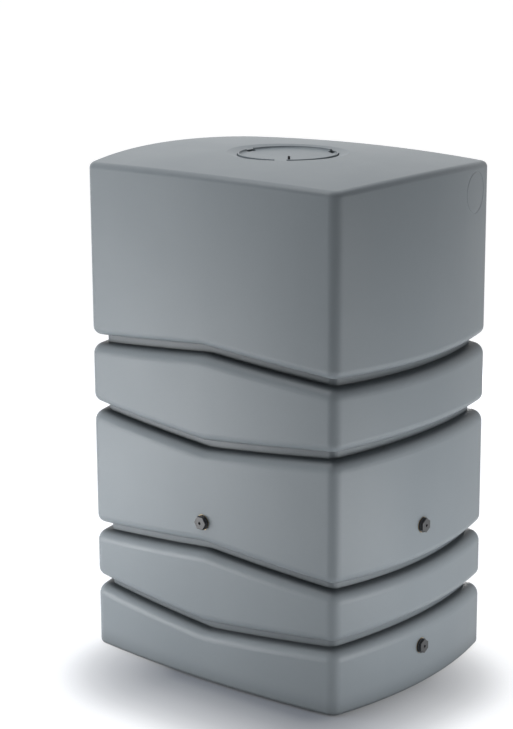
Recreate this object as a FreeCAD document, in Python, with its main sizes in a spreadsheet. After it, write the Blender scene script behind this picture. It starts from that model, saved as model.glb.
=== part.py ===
"""Rain tank: a moulded grey plastic tank with a bowed plan, four grooves that run round it in
chevrons, a screw lid sunk in its domed top, and five threaded outlets closed by hexagon plugs.

Frame: millimetres, +Z up, origin on the floor under the middle of the tank. The wide front is at -Y,
the narrow sides are at +X and -X.
"""
import FreeCAD, Part
import math
import os
import Sketcher

Vector = FreeCAD.Vector
doc = FreeCAD.newDocument("rain_tank")

SIZES = [
    # tank: plan and height
    ("overall_width", 802.0),
    ("overall_depth", 627.0),
    ("front_bow_radius", 2866.0),
    ("side_bow_radius", 1032.0),
    ("corner_radius", 30.0),
    ("crown_height", 1202.0),
    ("crown_radius_across", 6200.0),
    ("crown_radius_front_to_back", 2800.0),
    ("top_edge_radius", 14.0),
    ("base_edge_radius", 11.0),
    ("wall", 5.0),
    ("inside_bevel_share", 0.8),
    # grooves: the level of each is that of the panel's underside at the tank's corners
    ("groove_depth", 30.0),
    ("groove_floor_height", 20.0),
    ("groove_corner_radius", 22.0),
    ("lip_radius", 20.0),
    ("shoulder_radius", 27.0),
    ("chevron_rise", 31.0),
    ("chevron_run", 360.0),
    ("chevron_kink_radius", 160.0),
    ("groove_level_a", 770.0),
    ("groove_level_b", 611.0),
    ("groove_level_c", 308.0),
    ("groove_level_d", 176.0),
    # filler opening in the top: dish, moat, neck
    ("dish_radius", 140.0),
    ("dish_rim_drop", 2.5),
    ("dish_foot_drop", 7.5),
    ("moat_radius", 118.0),
    ("moat_floor_drop", 43.5),
    ("neck_outer_radius", 96.5),
    ("neck_inner_radius", 92.0),
    # lid; the gap is the room for the coarse thread, whose ridges the scene adds
    ("lid_top_drop", 9.5),
    ("lid_radius", 116.0),
    ("lid_plate", 6.0),
    ("lid_rim_height", 6.0),
    ("lid_rim_width", 4.0),
    ("lid_edge_radius", 1.5),
    ("lid_thread_gap", 3.2),
    ("lid_skirt_wall", 3.6),
    ("lid_skirt_length", 23.0),
    ("lid_seal_thickness", 3.0),
    ("lid_seal_inset", 0.5),
    ("notch_width", 28.0),
    ("notch_floor_radius", 104.5),
    ("notch_count", 3.0),
    ("first_notch_angle", 60.0),
    ("lock_screw_circle", 106.0),
    ("lock_screw_angle", 309.8),
    ("lock_screw_hole_radius", 2.1),
    ("lock_screw_shank_radius", 2.0),
    ("lock_screw_shank_length", 16.0),
    ("lock_screw_head_radius", 2.8),
    ("lock_screw_head_height", 12.5),
    ("lock_screw_slot_width", 1.2),
    ("lock_screw_slot_depth", 1.6),
    # outlets
    ("upper_outlet_level", 388.5),
    ("lower_outlet_level", 97.0),
    ("side_outlet_offset", -15.0),
    ("thread_radius", 13.1),
    ("thread_clearance", 0.1),
    ("insert_radius", 18.0),
    ("insert_length", 22.0),
    ("insert_collar_radius", 20.5),
    ("insert_collar_width", 4.0),
    ("insert_collar_setback", 8.0),
    ("boss_radius", 26.0),
    ("boss_length", 27.0),
    ("plug_seal_thickness", 1.5),
    ("plug_seal_radius", 16.5),
    ("plug_flange_radius", 17.5),
    ("plug_flange_thickness", 2.5),
    ("plug_shank_length", 17.0),
    ("plug_core_radius", 9.5),
    ("plug_core_end", 3.0),
    ("plug_hexagon_flats", 29.0),
    ("plug_hexagon_height", 6.5),
    ("plug_edge_radius", 1.0),
    ("plug_dimple_radius", 3.5),
    ("plug_dimple_depth", 3.0),
    # moulded ring that marks where a downpipe may be let in
    ("pipe_mark_radius", 47.5),
    ("pipe_mark_width", 3.0),
    ("pipe_mark_depth", 1.2),
    ("pipe_mark_drop", 85.0),
    ("pipe_mark_offset", 204.0),
]

# levels round the filler, each counted down from the crown
LEVELS = ["dish_rim", "dish_foot", "moat_floor", "lid_top", "pipe_mark"]

sheet = doc.addObject("Spreadsheet::Sheet", "Sizes")


def add_size(row, alias, content):
    sheet.set("A%d" % row, alias)
    sheet.set("B%d" % row, content)
    sheet.setAlias("B%d" % row, alias)


for row, (alias, number) in enumerate(SIZES, start=1):
    add_size(row, alias, "%.6g" % number)
for row, name in enumerate(LEVELS, start=len(SIZES) + 1):
    add_size(row, name + "_level", "=crown_height - %s_drop" % name)
doc.recompute()


def size(*aliases):
    """Sum of the named sizes, in millimetres."""
    return sum(float(sheet.get(alias)) for alias in aliases)


def plus(*aliases):
    """The same sum as an expression on the sheet."""
    return " + ".join("Sizes." + alias for alias in aliases) or "0"


# Helpers for bodies, sketches and features


def new_body(label):
    body = doc.addObject("PartDesign::Body", label)
    body.Label = label
    body.AllowCompound = True
    return body


def origin_plane(body, role):
    for feature in body.Origin.OriginFeatures:
        if feature.Role == role:
            return feature
    raise RuntimeError("no origin plane " + role)


def new_sketch(body, name, role):
    sketch = body.newObject("Sketcher::SketchObject", name)
    sketch.AttachmentSupport = (origin_plane(body, role), "")
    sketch.MapMode = "FlatFace"
    return sketch


def dimension(sketch, constraint, expression):
    """Adds a dimension and binds it to the sheet."""
    index = sketch.addConstraint(constraint)
    sketch.setExpression("Constraints[%d]" % index, expression)


def closed_polygon(sketch, points):
    """Closed run of straight lines. Each point is (x value, x expression, y value, y expression)."""
    count = len(points)
    for i in range(count):
        start = Vector(points[i][0], points[i][2], 0)
        end = Vector(points[(i + 1) % count][0], points[(i + 1) % count][2], 0)
        sketch.addGeometry(Part.LineSegment(start, end), False)
    for i in range(count):
        sketch.addConstraint(Sketcher.Constraint("Coincident", i, 2, (i + 1) % count, 1))
    for i, (x, x_expression, y, y_expression) in enumerate(points):
        place_point(sketch, i, 1, x, x_expression, y, y_expression)


def place_point(sketch, geometry, vertex, x, x_expression, y, y_expression):
    """Holds a sketch point at (x, y); a coordinate of zero lies on the sketch's own axis."""
    if x_expression == "0":
        sketch.addConstraint(Sketcher.Constraint("PointOnObject", geometry, vertex, -2))
    else:
        dimension(sketch, Sketcher.Constraint("DistanceX", -1, 1, geometry, vertex, x), x_expression)
    if y_expression == "0":
        sketch.addConstraint(Sketcher.Constraint("PointOnObject", geometry, vertex, -1))
    else:
        dimension(sketch, Sketcher.Constraint("DistanceY", -1, 1, geometry, vertex, y), y_expression)


def pad(body, name, sketch, length_expression, midplane=False):
    feature = body.newObject("PartDesign::Pad", name)
    feature.Profile = sketch
    feature.Midplane = midplane
    feature.setExpression("Length", length_expression)
    return feature


def revolve(body, name, sketch, cut=False, axis="V_Axis", angle=360.0):
    feature = body.newObject("PartDesign::Groove" if cut else "PartDesign::Revolution", name)
    feature.Profile = sketch
    feature.ReferenceAxis = (sketch, [axis])
    feature.Angle = angle
    feature.Midplane = angle < 360.0
    return feature


def fillet(body, name, base, edge_names, radius_expression):
    feature = body.newObject("PartDesign::Fillet", name)
    feature.Base = (base, edge_names)
    feature.setExpression("Radius", radius_expression)
    return feature


def soften(body, name, base, edge_names, radius_alias, inset):
    """Rounds edges of the outside; those of the inside, which nobody sees, are bevelled to match."""
    if not inset:
        return fillet(body, name, base, edge_names, "Sizes." + radius_alias)
    feature = body.newObject("PartDesign::Chamfer", name)
    feature.Base = (base, edge_names)
    feature.setExpression("Size", "(Sizes.%s - (%s)) * Sizes.inside_bevel_share" % (radius_alias, plus(*inset)))
    return feature


def edges_where(shape, test):
    return ["Edge%d" % (i + 1) for i, edge in enumerate(shape.Edges) if test(edge)]


def edge_points(edge, count=5):
    first, last = edge.ParameterRange
    return [edge.valueAt(first + (last - first) * i / (count - 1)) for i in range(count)]


# Plan outline of the tank: four bowed sides and four round corners


def corner_centre(half_width, half_depth, front_radius, side_radius, corner):
    """Centre of the corner arc at +X, -Y, tangent inside both bows."""
    front_centre = half_depth * -1.0 + front_radius
    side_centre = half_width - side_radius
    reach_front = front_radius - corner
    reach_side = side_radius - corner
    span = math.hypot(side_centre, front_centre)
    along = (reach_front ** 2 - reach_side ** 2 + span ** 2) / (2 * span)
    across = math.sqrt(reach_front ** 2 - along ** 2)
    ux, uy = side_centre / span, -front_centre / span
    options = [(along * ux - sign * across * uy, front_centre + along * uy + sign * across * ux)
               for sign in (1, -1)]
    return max(options, key=lambda point: point[0] - point[1])


def outline_sketch(body, name, inset, corner, corner_expression):
    """The plan outline set in by the named sizes, with its own corner radius."""
    sketch = new_sketch(body, name, "XY_Plane")
    half_width = size("overall_width") / 2 - size(*inset)
    half_depth = size("overall_depth") / 2 - size(*inset)
    front_radius = size("front_bow_radius") - size(*inset)
    side_radius = size("side_bow_radius") - size(*inset)
    cx, cy = corner_centre(half_width, half_depth, front_radius, side_radius, corner)
    front_half = math.atan2(cx, cy * -1.0 + front_radius - half_depth)
    side_half = math.atan2(-cy, cx - half_width + side_radius)
    quarter = math.pi / 2
    arcs = [
        (0, front_radius - half_depth, front_radius, -quarter - front_half, -quarter + front_half),
        (cx, cy, corner, -quarter + front_half, -side_half),
        (half_width - side_radius, 0, side_radius, -side_half, side_half),
        (cx, -cy, corner, side_half, quarter - front_half),
        (0, half_depth - front_radius, front_radius, quarter - front_half, quarter + front_half),
        (-cx, -cy, corner, quarter + front_half, 2 * quarter - side_half),
        (side_radius - half_width, 0, side_radius, 2 * quarter - side_half, 2 * quarter + side_half),
        (-cx, cy, corner, 2 * quarter + side_half, 3 * quarter - front_half),
    ]
    for x, y, radius, start, end in arcs:
        circle = Part.Circle(Vector(x, y, 0), Vector(0, 0, 1), radius)
        sketch.addGeometry(Part.ArcOfCircle(circle, start, end), False)
    for i in range(len(arcs)):
        sketch.addConstraint(Sketcher.Constraint("Tangent", i, 2, (i + 1) % len(arcs), 1))
    front, right, back, left = 0, 2, 4, 6
    for arc, axis in ((front, -2), (back, -2), (right, -1), (left, -1)):
        sketch.addConstraint(Sketcher.Constraint("PointOnObject", arc, 3, axis))
    sketch.addConstraint(Sketcher.Constraint("Equal", front, back))
    sketch.addConstraint(Sketcher.Constraint("Equal", right, left))
    for other in (3, 5, 7):
        sketch.addConstraint(Sketcher.Constraint("Equal", 1, other))
    set_in = plus(*inset)
    dimension(sketch, Sketcher.Constraint("Radius", front, front_radius),
              "Sizes.front_bow_radius - (%s)" % set_in)
    dimension(sketch, Sketcher.Constraint("Radius", right, side_radius),
              "Sizes.side_bow_radius - (%s)" % set_in)
    dimension(sketch, Sketcher.Constraint("Radius", 1, corner), corner_expression)
    front_centre = "Sizes.front_bow_radius - Sizes.overall_depth / 2"
    side_centre = "Sizes.side_bow_radius - Sizes.overall_width / 2"
    front_offset = front_radius - half_depth
    side_offset = side_radius - half_width
    dimension(sketch, Sketcher.Constraint("DistanceY", -1, 1, front, 3, front_offset), front_centre)
    dimension(sketch, Sketcher.Constraint("DistanceY", back, 3, -1, 1, front_offset), front_centre)
    dimension(sketch, Sketcher.Constraint("DistanceX", right, 3, -1, 1, side_offset), side_centre)
    dimension(sketch, Sketcher.Constraint("DistanceX", -1, 1, left, 3, side_offset), side_centre)
    return sketch


# Tank: the same form is built twice, as the outside and, set in by the wall, as the space inside


def crown_sketch(body, name, drop):
    """Region above the crown's arc, revolved about an axis that lies along X far below it."""
    sketch = new_sketch(body, name, "XZ_Plane")
    reach = size("overall_width") * 0.6
    headroom = size("overall_width") * 0.1
    radius = size("crown_radius_across") - size(*drop)
    apex = size("crown_height") - size(*drop)
    half = math.asin(reach / radius)
    circle = Part.Circle(Vector(0, apex - radius, 0), Vector(0, 0, 1), radius)
    arc = Part.ArcOfCircle(circle, math.pi / 2 - half, math.pi / 2 + half)
    foot = apex - radius + radius * math.cos(half)
    top = apex + headroom
    sketch.addGeometry(arc, False)
    sketch.addGeometry(Part.LineSegment(Vector(-reach, foot, 0), Vector(-reach, top, 0)), False)
    sketch.addGeometry(Part.LineSegment(Vector(-reach, top, 0), Vector(reach, top, 0)), False)
    sketch.addGeometry(Part.LineSegment(Vector(reach, top, 0), Vector(reach, foot, 0)), False)
    for first, second in ((0, 1), (1, 2), (2, 3)):
        sketch.addConstraint(Sketcher.Constraint("Coincident", first, 2, second, 1))
    sketch.addConstraint(Sketcher.Constraint("Coincident", 3, 2, 0, 1))
    sketch.addConstraint(Sketcher.Constraint("Vertical", 1))
    sketch.addConstraint(Sketcher.Constraint("Horizontal", 2))
    sketch.addConstraint(Sketcher.Constraint("Vertical", 3))
    sketch.addConstraint(Sketcher.Constraint("PointOnObject", 0, 3, -2))
    fallen = plus(*drop)
    dimension(sketch, Sketcher.Constraint("Radius", 0, radius),
              "Sizes.crown_radius_across - (%s)" % fallen)
    dimension(sketch, Sketcher.Constraint("DistanceY", 0, 3, -1, 1, radius - apex),
              "Sizes.crown_radius_across - Sizes.crown_height")
    dimension(sketch, Sketcher.Constraint("DistanceX", -1, 1, 0, 1, reach), "Sizes.overall_width * 0.6")
    dimension(sketch, Sketcher.Constraint("DistanceX", 0, 2, -1, 1, reach), "Sizes.overall_width * 0.6")
    dimension(sketch, Sketcher.Constraint("DistanceY", -1, 1, 1, 2, top),
              "Sizes.crown_height - (%s) + Sizes.overall_width * 0.1" % fallen)
    axis_level = size("crown_height") - size("crown_radius_front_to_back")
    axis = sketch.addGeometry(Part.LineSegment(Vector(0, axis_level, 0), Vector(100, axis_level, 0)), True)
    sketch.addConstraint(Sketcher.Constraint("Horizontal", axis))
    sketch.addConstraint(Sketcher.Constraint("PointOnObject", axis, 1, -2))
    sketch.addConstraint(Sketcher.Constraint("Distance", axis, 100.0))
    dimension(sketch, Sketcher.Constraint("DistanceY", axis, 1, -1, 1, -axis_level),
              "Sizes.crown_radius_front_to_back - Sizes.crown_height")
    return sketch


GROOVES = [("groove_level_a", 1), ("groove_level_b", -1), ("groove_level_c", 1), ("groove_level_d", -1)]


def chevron_level(x, level, direction):
    """Level of a chevron line at x, its kink taken as sharp."""
    return level + direction * size("chevron_rise") * (1 - abs(x) / size("chevron_run"))


def slot_sketch(body, name, alias, direction, grow):
    """Chevron band, grown up and down by the named sizes."""
    sketch = new_sketch(body, name, "XZ_Plane")
    reach = size("overall_width") * 0.6
    level = size(alias) + size(*grow)
    height = size("groove_floor_height") + 2 * size(*grow)
    slope = math.atan(size("chevron_rise") / size("chevron_run"))
    radius = size("chevron_kink_radius")
    tangent = radius * math.sin(slope)
    end_z = chevron_level(reach, level, direction)
    kink_z = chevron_level(tangent, level, direction)
    centre_z = kink_z - direction * radius * math.cos(slope)

    def line(x1, z1, x2, z2):
        return sketch.addGeometry(Part.LineSegment(Vector(x1, z1, 0), Vector(x2, z2, 0)), False)

    def arc(drop):
        middle = math.pi / 2 * direction
        circle = Part.Circle(Vector(0, centre_z - drop, 0), Vector(0, 0, 1), radius)
        return sketch.addGeometry(Part.ArcOfCircle(circle, middle - slope, middle + slope), False)

    lines = {}
    arcs = {}
    for key, drop in (("upper", 0.0), ("lower", height)):
        lines[key, "left"] = line(-reach, end_z - drop, -tangent, kink_z - drop)
        lines[key, "right"] = line(tangent, kink_z - drop, reach, end_z - drop)
        arcs[key] = arc(drop)
    right_end = line(reach, end_z, reach, end_z - height)
    left_end = line(-reach, end_z, -reach, end_z - height)
    # an arc that bulges up starts at its right end, one that bulges down at its left end
    left_tip, right_tip = (2, 1) if direction > 0 else (1, 2)
    for key in ("upper", "lower"):
        sketch.addConstraint(Sketcher.Constraint("Tangent", lines[key, "left"], 2, arcs[key], left_tip))
        sketch.addConstraint(Sketcher.Constraint("Tangent", lines[key, "right"], 1, arcs[key], right_tip))
        sketch.addConstraint(Sketcher.Constraint("PointOnObject", arcs[key], 3, -2))
        dimension(sketch, Sketcher.Constraint("Radius", arcs[key], radius), "Sizes.chevron_kink_radius")
    for end, vertex, side, tip in ((right_end, 1, "upper", 2), (right_end, 2, "lower", 2)):
        sketch.addConstraint(Sketcher.Constraint("Coincident", end, vertex, lines[side, "right"], tip))
    for end, vertex, side in ((left_end, 1, "upper"), (left_end, 2, "lower")):
        sketch.addConstraint(Sketcher.Constraint("Coincident", end, vertex, lines[side, "left"], 1))
    sketch.addConstraint(Sketcher.Constraint("Vertical", right_end))
    sketch.addConstraint(Sketcher.Constraint("Vertical", left_end))
    for side in ("left", "right"):
        sketch.addConstraint(Sketcher.Constraint("Parallel", lines["upper", side], lines["lower", side]))
    reach_expression = "Sizes.overall_width * 0.6"
    right_line = lines["upper", "right"]
    left_line = lines["upper", "left"]
    dimension(sketch, Sketcher.Constraint("DistanceX", -1, 1, right_line, 2, reach), reach_expression)
    dimension(sketch, Sketcher.Constraint("DistanceX", left_line, 1, -1, 1, reach), reach_expression)
    sign = "+" if direction > 0 else "-"
    level_expression = "Sizes.%s + %s %s Sizes.chevron_rise * (1 - %s / Sizes.chevron_run)" % (
        alias, plus(*grow), sign, reach_expression)
    dimension(sketch, Sketcher.Constraint("DistanceY", -1, 1, right_line, 2, end_z), level_expression)
    dimension(sketch, Sketcher.Constraint("DistanceY", -1, 1, left_line, 1, end_z), level_expression)
    dimension(sketch, Sketcher.Constraint("DistanceY", right_end, 2, right_end, 1, height),
              "Sizes.groove_floor_height + 2 * (%s)" % plus(*grow))
    # a level line through the kink carries the slope as a rise over a run
    rise = sketch.addGeometry(Part.LineSegment(Vector(tangent, kink_z, 0), Vector(reach, kink_z, 0)), True)
    sketch.addConstraint(Sketcher.Constraint("Coincident", rise, 1, right_line, 1))
    sketch.addConstraint(Sketcher.Constraint("Horizontal", rise))
    sketch.addConstraint(Sketcher.Constraint("PointOnObject", rise, 2, right_end))
    if direction > 0:
        angle = Sketcher.Constraint("Angle", right_line, 1, rise, 1, slope)
    else:
        angle = Sketcher.Constraint("Angle", rise, 1, right_line, 1, slope)
    dimension(sketch, angle, "atan(Sizes.chevron_rise / Sizes.chevron_run)")
    return sketch


def follows_chevron(edge, alias, direction, shift):
    """True for an edge that runs round the tank along one line of a chevron slot."""
    kink = size("chevron_kink_radius") * math.sin(math.atan(size("chevron_rise") / size("chevron_run")))
    points = edge_points(edge)
    if abs(points[0].x - points[-1].x) < 0.01 and abs(points[0].z - points[-1].z) < 0.01:
        if abs(abs(points[0].x) - kink) < 0.01:
            return False
    rounding = kink * size("chevron_rise") / size("chevron_run")
    for point in points:
        z = chevron_level(point.x, size(alias) + shift, direction)
        allowed = 0.02 if abs(point.x) > kink + 0.01 else rounding
        if abs(point.z - z) > allowed:
            return False
    return True


def add_tank_form(body, inset):
    """Fills a body with the tank's form, set in by the named sizes all over."""
    corner = size("corner_radius") - size(*inset)
    outline = outline_sketch(body, body.Label + "_outline", inset, corner,
                             "Sizes.corner_radius - (%s)" % plus(*inset))
    outline.setExpression("AttachmentOffset.Base.z", plus(*inset))
    pad(body, body.Label + "_block", outline, "Sizes.crown_height - (%s)" % plus(*inset))
    crown = crown_sketch(body, body.Label + "_crown_profile", inset)
    revolve(body, body.Label + "_crown", crown, cut=True, axis="Axis0", angle=20.0)
    for alias, direction in GROOVES:
        profile = slot_sketch(body, body.Label + "_" + alias + "_profile", alias, direction, inset)
        slot = body.newObject("PartDesign::Pocket", body.Label + "_" + alias)
        slot.Profile = profile
        slot.Midplane = True
        slot.setExpression("Length", "Sizes.overall_depth * 1.2")
    core_inset = ("groove_depth",) + inset
    core_corner = size("groove_corner_radius") - size(*inset)
    core = outline_sketch(body, body.Label + "_core_outline", core_inset, core_corner,
                          "Sizes.groove_corner_radius - (%s)" % plus(*inset))
    core.setExpression("AttachmentOffset.Base.z", "Sizes.groove_level_d / 2")
    block = pad(body, body.Label + "_core", core, "Sizes.groove_level_a")
    doc.recompute()
    shape = block.Shape
    lips = []
    grow = size(*inset)
    for alias, direction in GROOVES:
        lips += edges_where(shape, lambda edge: on_outline(edge, grow)
                            and follows_chevron(edge, alias, direction, grow))
    feature = soften(body, body.Label + "_lips", block, lips, "lip_radius", inset)
    doc.recompute()
    shape = feature.Shape
    shoulders = []
    for alias, direction in GROOVES:
        drop = -size("groove_floor_height") - grow
        shoulders += edges_where(shape, lambda edge: on_outline(edge, grow)
                                 and follows_chevron(edge, alias, direction, drop))
    feature = soften(body, body.Label + "_shoulders", feature, shoulders, "shoulder_radius", inset)
    doc.recompute()
    base_level = grow
    top_level = size("crown_height") - grow - size("top_edge_radius") * 4
    base = edges_where(feature.Shape, lambda edge: all(abs(p.z - base_level) < 0.01
                                                       for p in edge_points(edge)))
    feature = fillet(body, body.Label + "_base_edge", feature, base,
                     "Sizes.base_edge_radius - (%s)" % plus(*inset))
    doc.recompute()
    top = edges_where(feature.Shape, lambda edge: on_outline(edge, grow)
                      and all(p.z > top_level for p in edge_points(edge))
                      and abs(edge_points(edge)[0].z - edge_points(edge)[-1].z) < size("top_edge_radius"))
    return soften(body, body.Label + "_top_edge", feature, top, "top_edge_radius", inset)


def on_outline(edge, inset):
    """True for an edge that lies in the tank's outer wall, set in by the given amount."""
    half_width = size("overall_width") / 2 - inset
    half_depth = size("overall_depth") / 2 - inset
    front_radius = size("front_bow_radius") - inset
    side_radius = size("side_bow_radius") - inset
    corner = size("corner_radius") - inset
    cx, cy = corner_centre(half_width, half_depth, front_radius, side_radius, corner)
    for point in edge_points(edge):
        x, y = abs(point.x), abs(point.y)
        front = front_radius - math.hypot(x, y + front_radius - half_depth)
        side = side_radius - math.hypot(x + side_radius - half_width, y)
        round_corner = corner - math.hypot(x - cx, y + cy)
        if min(abs(front), abs(side), abs(round_corner)) > 0.02:
            return False
    return True


def outer_form():
    """Outside of the tank, with the dish and the moat sunk in its top and the neck in the moat."""
    body = new_body("tank_outside")
    add_tank_form(body, ())
    above = size("crown_height") + size("wall")
    above_expression = "Sizes.crown_height + Sizes.wall"
    slope = "(Sizes.dish_rim_level - Sizes.dish_foot_level) / (Sizes.dish_radius - Sizes.moat_radius)"
    gradient = (size("dish_rim_level") - size("dish_foot_level")) / (size("dish_radius") - size("moat_radius"))
    rim = size("moat_radius") + (above - size("dish_foot_level")) / gradient
    rim_expression = "Sizes.moat_radius + (%s - Sizes.dish_foot_level) / (%s)" % (above_expression, slope)
    dish = new_sketch(body, "dish_profile", "XZ_Plane")
    closed_polygon(dish, [
        (0, "0", size("moat_floor_level"), "Sizes.moat_floor_level"),
        (size("moat_radius"), "Sizes.moat_radius", size("moat_floor_level"), "Sizes.moat_floor_level"),
        (size("moat_radius"), "Sizes.moat_radius", size("dish_foot_level"), "Sizes.dish_foot_level"),
        (rim, rim_expression, above, above_expression),
        (0, "0", above, above_expression),
    ])
    revolve(body, "dish", dish, cut=True)
    neck_top = size("lid_top_level") - size("lid_plate") - size("lid_seal_thickness")
    neck_top_expression = "Sizes.lid_top_level - Sizes.lid_plate - Sizes.lid_seal_thickness"
    below = "Sizes.moat_floor_level - Sizes.wall / 2"
    neck = new_sketch(body, "neck_profile", "XZ_Plane")
    closed_polygon(neck, [
        (0, "0", size("moat_floor_level") - size("wall") / 2, below),
        (size("neck_outer_radius"), "Sizes.neck_outer_radius", size("moat_floor_level") - size("wall") / 2, below),
        (size("neck_outer_radius"), "Sizes.neck_outer_radius", neck_top, neck_top_expression),
        (0, "0", neck_top, neck_top_expression),
    ])
    revolve(body, "neck", neck)
    doc.recompute()
    return body


def inner_form():
    """Space inside the tank, kept clear of the moat and open through the neck."""
    body = new_body("tank_inside")
    add_tank_form(body, ("wall",))
    above = size("crown_height") + size("wall")
    above_expression = "Sizes.crown_height + Sizes.wall"
    moat_wall = size("moat_radius") + size("wall")
    moat_wall_expression = "Sizes.moat_radius + Sizes.wall"
    dish_wall_expression = "Sizes.dish_radius + 2 * Sizes.wall"
    ceiling_expression = "Sizes.moat_floor_level - Sizes.wall"
    under = new_sketch(body, "under_moat_profile", "XZ_Plane")
    closed_polygon(under, [
        (0, "0", size("moat_floor_level") - size("wall"), ceiling_expression),
        (moat_wall, moat_wall_expression, size("moat_floor_level") - size("wall"), ceiling_expression),
        (moat_wall, moat_wall_expression, size("dish_foot_level") - size("wall"),
         "Sizes.dish_foot_level - Sizes.wall"),
        (size("dish_radius") + 2 * size("wall"), dish_wall_expression, size("dish_rim_level") - size("wall"),
         "Sizes.dish_rim_level - Sizes.wall"),
        (size("dish_radius") + 2 * size("wall"), dish_wall_expression, above, above_expression),
        (0, "0", above, above_expression),
    ])
    revolve(body, "under_moat", under, cut=True)
    bore = new_sketch(body, "neck_bore_profile", "XZ_Plane")
    start_expression = "Sizes.moat_floor_level - 2 * Sizes.wall"
    closed_polygon(bore, [
        (0, "0", size("moat_floor_level") - 2 * size("wall"), start_expression),
        (size("neck_inner_radius"), "Sizes.neck_inner_radius",
         size("moat_floor_level") - 2 * size("wall"), start_expression),
        (size("neck_inner_radius"), "Sizes.neck_inner_radius", above, above_expression),
        (0, "0", above, above_expression),
    ])
    revolve(body, "neck_bore", bore)
    return body


# Outlets: where each one is, and which way it faces

OUTLETS = [
    ("front_tap", "front", "upper_outlet_level"),
    ("right_upper", "right", "upper_outlet_level"),
    ("right_lower", "right", "lower_outlet_level"),
    ("left_upper", "left", "upper_outlet_level"),
    ("left_lower", "left", "lower_outlet_level"),
]


def face_outward(item, face, level):
    """Turns a piece's own +Z out of a face of the tank and puts its origin on that face."""
    if face == "front":
        item.Placement = FreeCAD.Placement(Vector(), FreeCAD.Rotation(Vector(1, 0, 0), 90))
        item.setExpression("Placement.Base.y", "-Sizes.overall_depth / 2")
    else:
        turn = 90 if face == "right" else -90
        sign = "" if face == "right" else "-"
        item.Placement = FreeCAD.Placement(Vector(), FreeCAD.Rotation(Vector(0, 1, 0), turn))
        face_x = "sqrt(Sizes.side_bow_radius ^ 2 - Sizes.side_outlet_offset ^ 2)"
        item.setExpression("Placement.Base.x",
                           "%s(Sizes.overall_width / 2 - Sizes.side_bow_radius + %s)" % (sign, face_x))
        item.setExpression("Placement.Base.y", "Sizes.side_outlet_offset")
    item.setExpression("Placement.Base.z", "Sizes." + level)


def insert_outline(body, name, inner_radius, inner_expression):
    """Half section of an insert, its collar moulded into the boss; z runs out of the tank."""
    sketch = new_sketch(body, name, "XZ_Plane")
    deep = -size("insert_length")
    collar_top = -size("insert_collar_setback")
    collar_foot = -size("insert_collar_setback", "insert_collar_width")
    radius = (size("insert_radius"), "Sizes.insert_radius")
    collar = (size("insert_collar_radius"), "Sizes.insert_collar_radius")
    inner = (inner_radius, inner_expression)
    deep_expression = "-Sizes.insert_length"
    top_expression = "-Sizes.insert_collar_setback"
    foot_expression = "-(Sizes.insert_collar_setback + Sizes.insert_collar_width)"
    closed_polygon(sketch, [
        inner + (deep, deep_expression),
        radius + (deep, deep_expression),
        radius + (collar_foot, foot_expression),
        collar + (collar_foot, foot_expression),
        collar + (collar_top, top_expression),
        radius + (collar_top, top_expression),
        radius + (0, "0"),
        inner + (0, "0"),
    ])
    return sketch


def outlet_insert(name, face, level):
    """Brass bush that holds the outlet's thread."""
    body = new_body(name + "_insert")
    bore = size("thread_radius", "thread_clearance")
    profile = insert_outline(body, name + "_insert_profile", bore,
                             "Sizes.thread_radius + Sizes.thread_clearance")
    revolve(body, name + "_insert_turned", profile)
    face_outward(body, face, level)
    return body


def outlet_socket(name, face, level):
    """Space that the insert fills in the tank's boss, open to the inside through the boss's end."""
    body = new_body(name + "_socket")
    profile = insert_outline(body, name + "_socket_profile", 0, "0")
    revolve(body, name + "_socket_turned", profile)
    bore = new_sketch(body, name + "_socket_bore_profile", "XZ_Plane")
    bore_expression = "Sizes.thread_radius + Sizes.thread_clearance"
    deep_expression = "-(Sizes.boss_length + Sizes.wall)"
    closed_polygon(bore, [
        (0, "0", -size("boss_length", "wall"), deep_expression),
        (size("thread_radius", "thread_clearance"), bore_expression, -size("boss_length", "wall"),
         deep_expression),
        (size("thread_radius", "thread_clearance"), bore_expression, -size("insert_length") / 2,
         "-Sizes.insert_length / 2"),
        (0, "0", -size("insert_length") / 2, "-Sizes.insert_length / 2"),
    ])
    revolve(body, name + "_socket_bore", bore)
    mouth = new_sketch(body, name + "_socket_mouth_profile", "XZ_Plane")
    closed_polygon(mouth, [
        (0, "0", 0, "0"),
        (size("insert_radius"), "Sizes.insert_radius", 0, "0"),
        (size("insert_radius"), "Sizes.insert_radius", size("wall"), "Sizes.wall"),
        (0, "0", size("wall"), "Sizes.wall"),
    ])
    revolve(body, name + "_socket_mouth", mouth)
    face_outward(body, face, level)
    return body


def outlet_boss(name, face, level):
    """Thickening of the wall round the insert, which the inside space is cut back for."""
    body = new_body(name + "_boss")
    profile = new_sketch(body, name + "_boss_profile", "XZ_Plane")
    deep = -size("boss_length")
    closed_polygon(profile, [
        (0, "0", deep, "-Sizes.boss_length"),
        (size("boss_radius"), "Sizes.boss_radius", deep, "-Sizes.boss_length"),
        (size("boss_radius"), "Sizes.boss_radius", size("wall"), "Sizes.wall"),
        (0, "0", size("wall"), "Sizes.wall"),
    ])
    revolve(body, name + "_boss_turned", profile)
    face_outward(body, face, level)
    return body


def outlet_seal(name, face, level):
    """Flat rubber ring between the insert's face and the plug's flange."""
    body = new_body(name + "_seal")
    profile = new_sketch(body, name + "_seal_profile", "XZ_Plane")
    inner = (size("thread_radius", "thread_clearance"), "Sizes.thread_radius + Sizes.thread_clearance")
    outer = (size("plug_seal_radius"), "Sizes.plug_seal_radius")
    thickness = (size("plug_seal_thickness"), "Sizes.plug_seal_thickness")
    closed_polygon(profile, [
        inner + (0, "0"),
        outer + (0, "0"),
        outer + thickness,
        inner + thickness,
    ])
    revolve(body, name + "_seal_ring", profile)
    face_outward(body, face, level)
    return body


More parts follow.
